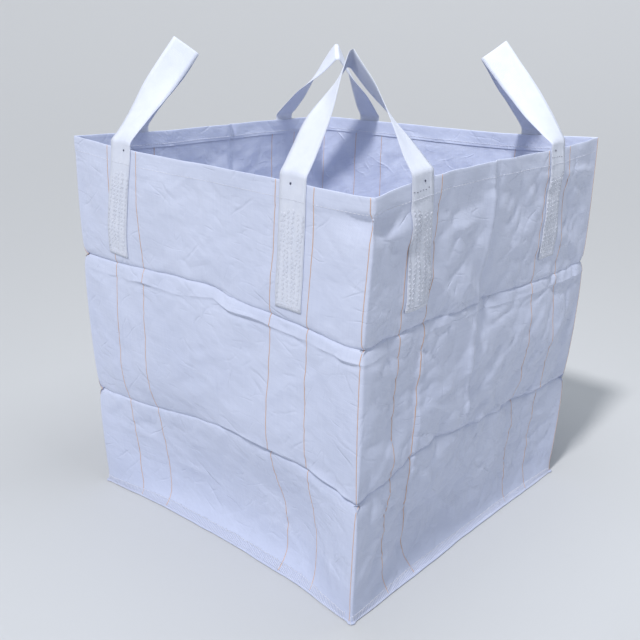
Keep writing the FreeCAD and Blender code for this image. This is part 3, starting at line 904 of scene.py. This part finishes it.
def woven_cloth(name, light, dark, tape=0.0024):
    """Flat plastic tapes in a plain weave: over-and-under relief, fine creases, a soft sheen, and painted
    shade that darkens the colour towards the bottom.
    """
    finish = Finish(name, light, 0.42, Specular_IOR_Level=0.45, Sheen_Weight=0.08)
    uv, u, v = finish.run_across()
    weave = finish.times(finish.wave(u, 2 * tape), finish.wave(v, 2 * tape))
    bumps = finish.times(weave, 0.00006)
    warped = finish.warped(uv, 14, 0.022)
    for lean, length, width, depth, key in ((0.6, 0.26, 0.075, 0.0011, 11), (-0.7, 0.20, 0.060, 0.0010, 13),
                                            (0.15, 0.16, 0.040, 0.0007, 17), (-1.3, 0.14, 0.040, 0.0006, 19)):
        patch = finish.spread(finish.speckle(finish.place(), key, 1), 0.52, 0.68, 0, depth)
        lines = finish.crease(warped, lean, length, width)
        bumps = finish.add(bumps, finish.times(lines, patch))
    dents = finish.times(finish.speckle(finish.stretched(uv, 0.5, 0.05, 0.022), 1.0, 3), 0.0018)
    finish.bump(finish.add(bumps, dents), 1.0)
    warps = finish.speckle(finish.stretched(uv, 0, 0.17, tape), 0.9)
    wefts = finish.speckle(finish.stretched(uv, 0, tape, 0.17), 0.9)
    smudge = finish.speckle(finish.place(), 5, 5)
    crimp = finish.speckle(finish.place(), 55, 3)
    tone = finish.add(finish.times(finish.add(warps, wefts), 0.32), finish.times(smudge, 0.45))
    tone = finish.add(tone, finish.times(weave, 0.05))
    # Painted shade: the colour is darker where v, the height up the cloth, is low. It darkens gently all the
    # way up as the light falls off, and more in the lowest 0.12 m by the floor.
    tone = finish.add(tone, finish.spread(v, 0, RIM, -0.22, 0.08))
    tone = finish.add(tone, finish.spread(v, 0, 0.12, -0.28, 0))
    finish.paint(finish.spread(tone, 0.25, 0.75, 0, 1), dark, light)
    finish.link(finish.spread(finish.add(smudge, crimp), 0.7, 1.3, 0.34, 0.55), "Roughness")
    return finish


def webbing():
    """Ribbed flat webbing: cords along it, a herringbone of picks across them, soft and bright."""
    finish = Finish("webbing", (0.9, 0.93, 0.98), 0.6, Specular_IOR_Level=0.35, Sheen_Weight=0.15)
    _uv, u, v = finish.run_across()
    rib = finish.wave(u, RIB_PITCH)
    zig = finish.maths("PINGPONG", u, HERRINGBONE)
    pick = finish.wave(finish.add(v, zig), PICK_PITCH)
    ribs = finish.add(finish.times(rib, 0.5), finish.times(pick, 0.5))
    finish.bump(ribs, 0.0005, 0.7)
    fuzz = finish.speckle(finish.place(), 40, 4)
    tone = finish.add(fuzz, finish.times(ribs, 0.09))
    finish.paint(finish.spread(tone, 0.3, 0.7, 0, 1), (0.745, 0.785, 0.91), (0.79, 0.825, 0.935))
    finish.link(finish.spread(fuzz, 0.3, 0.7, 0.5, 0.72), "Roughness")
    return finish


def thread(name, light, dark):
    """Twisted thread: fine slanting plies with a slight gloss."""
    finish = Finish(name, light, 0.5, Specular_IOR_Level=0.4)
    _uv, u, v = finish.run_across()
    slant = finish.add(finish.times(v, 2 * math.pi / PLY_PITCH), finish.times(u, 2000))
    ply = finish.maths("SINE", slant)
    finish.bump(ply, 0.0002, 0.6)
    tone = finish.add(finish.times(ply, 0.25), finish.speckle(finish.place(), 90))
    finish.paint(finish.spread(tone, 0.2, 0.9, 0, 1), dark, light)
    finish.link(finish.spread(tone, 0.2, 0.9, 0.6, 0.42), "Roughness")
    return finish


# The dark lock thread: the knots' own colour, and painted shade on the right wall's rim tacks.
def knot_and_shade_finish():
    finish = Finish("lock_thread", (0.05, 0.06, 0.11), 0.7)
    fuzz = finish.speckle(finish.place(), 900, 3)
    finish.bump(fuzz, 0.0004, 0.8)
    finish.paint(fuzz, (0.03, 0.035, 0.07), (0.12, 0.13, 0.2))
    return finish


CLOTH = woven_cloth("woven_cloth", (0.66, 0.705, 0.865), (0.545, 0.595, 0.77))
BASE = woven_cloth("base_cloth", (0.65, 0.695, 0.855), (0.545, 0.595, 0.76))
WEBBING = webbing()
SEWING = thread("sewing_thread", (0.87, 0.885, 0.96), (0.74, 0.76, 0.85))
YARN = thread("marker_yarn", (0.78, 0.55, 0.42), (0.64, 0.40, 0.28))
LOCK_THREAD_AND_SHADE = knot_and_shade_finish()


def dress(piece, finish):
    piece.data.materials.append(finish.material)
    return piece


# ---- assembly

def put(piece, finish, *nodes):
    """Dresses a piece that stays with the bag and hides the frame's nodes that it stands for."""
    dress(piece, finish)
    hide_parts(*nodes)
    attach(piece, "bag")
    return piece


tube = put(body_cloth(), CLOTH, *[f"wall_{side}" for side in WALLS])
seam = put(base_seam(), CLOTH, *[f"base_seam_{side}" for side in WALLS])
base = put(base_sheet(), BASE, "base_panel")
for number, side in enumerate(WALLS):
    put(seam_stitching(number), SEWING, f"base_stitching_{side}")
    put(hem_stitching(number), SEWING, f"hem_stitching_{side}")
    middles = [sign * BAND + edge * YARN_OFFSET for sign in (-1, 1) for edge in (-1, 1)]
    put(yarns(f"yarns_{side}", number, middles), YARN, f"marker_yarns_{side}")
    corner = CORNERS[number]
    line = yarns(f"corner_line_{corner}", number, [HALF - CORNER_INSET])
    put(line, YARN, f"corner_yarn_{corner}")
for quarters, corner in enumerate(CORNERS):
    strap = dress(loop(corner), WEBBING)
    sides = [WALLS[quarters], WALLS[(quarters + 1) % 4]]
    legs = [f"loop_{corner}_{part}_{side}" for part in ("leg", "root") for side in sides]
    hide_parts(f"loop_{corner}", *legs)
    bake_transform(strap)
    for side in sides:
        put(leg_stitching(corner, side), SEWING, f"loop_{corner}_stitching_{side}")
put(lock_knots(), LOCK_THREAD_AND_SHADE, "lock_knots")
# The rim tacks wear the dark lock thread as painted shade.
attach(dress(rim_tacks(), LOCK_THREAD_AND_SHADE), "bag")

# ---- floor, light and camera

def sweep():
    """A wide floor that curves up far off on every side, so that no skyline shows."""
    reach = np.r_[0.5, np.linspace(4, 60, 40)]
    turns = -np.arange(96) * 2 * math.pi / 96
    rise = 0.012 * np.maximum(reach - 6, 0) ** 2 - 0.0006
    ring = stacked(np.cos(turns), np.sin(turns), 0 * turns)
    rings = reach[:, None, None] * ring + rise[:, None, None] * UP
    faces = grid_faces(len(reach), len(turns), True).tolist() + [list(range(len(turns)))[::-1]]
    return new_piece("floor", rings.reshape(-1, 3), faces)


floor = sweep()
floor.data.materials.append(Finish("floor", (0.60, 0.61, 0.62), 0.9).material)


def new_lamp(name, kind, energy, colour):
    light = bpy.data.lights.new(name, kind)
    light.energy, light.color = energy, colour
    return placed(name, light)


KEY_FROM = (0.09, -0.59, 0.80)  # where the key light comes from
SOFTBOX_PLACE = (0.35, -0.05, 2.6)

key_lamp = new_lamp("key", "SUN", 2.15, (0.99, 0.985, 1.0))
key_lamp.data.angle = math.radians(6)
key_lamp.rotation_mode = "QUATERNION"
key_lamp.rotation_quaternion = Vector(KEY_FROM).to_track_quat("Z", "Y")
softbox = new_lamp("softbox", "AREA", 18, (0.92, 0.96, 1.0))
softbox.data.size = 1.0
softbox.location = SOFTBOX_PLACE

world = bpy.data.worlds.new("studio")
world.use_nodes = True
sky = world.node_tree.nodes["Background"]
sky.inputs["Color"].default_value = (0.84, 0.91, 1.0, 1)
sky.inputs["Strength"].default_value = 0.42
bpy.context.scene.world = world
bpy.context.scene.view_settings.view_transform = "Standard"

CAMERA_PLACE = (1.368, -1.6355, 1.2296)
CAMERA_YAW, CAMERA_PITCH, CAMERA_ROLL = -41.14, -19.63, 1.04  # degrees: turned from +Y, tipped up, rolled
CAMERA_LENS, CAMERA_SENSOR = 47.75, 36  # millimetres
lens = bpy.data.cameras.new("camera")
lens.lens, lens.sensor_width = CAMERA_LENS, CAMERA_SENSOR
camera = placed("camera", lens)
camera.rotation_mode = "QUATERNION"
camera.location = CAMERA_PLACE
aim = Matrix()
for angle, axis in ((-CAMERA_YAW, "Z"), (90 + CAMERA_PITCH, "X"), (CAMERA_ROLL, "Z")):
    aim = aim @ Matrix.Rotation(math.radians(angle), 4, axis)
camera.rotation_quaternion = aim.to_quaternion()
bpy.context.scene.camera = camera
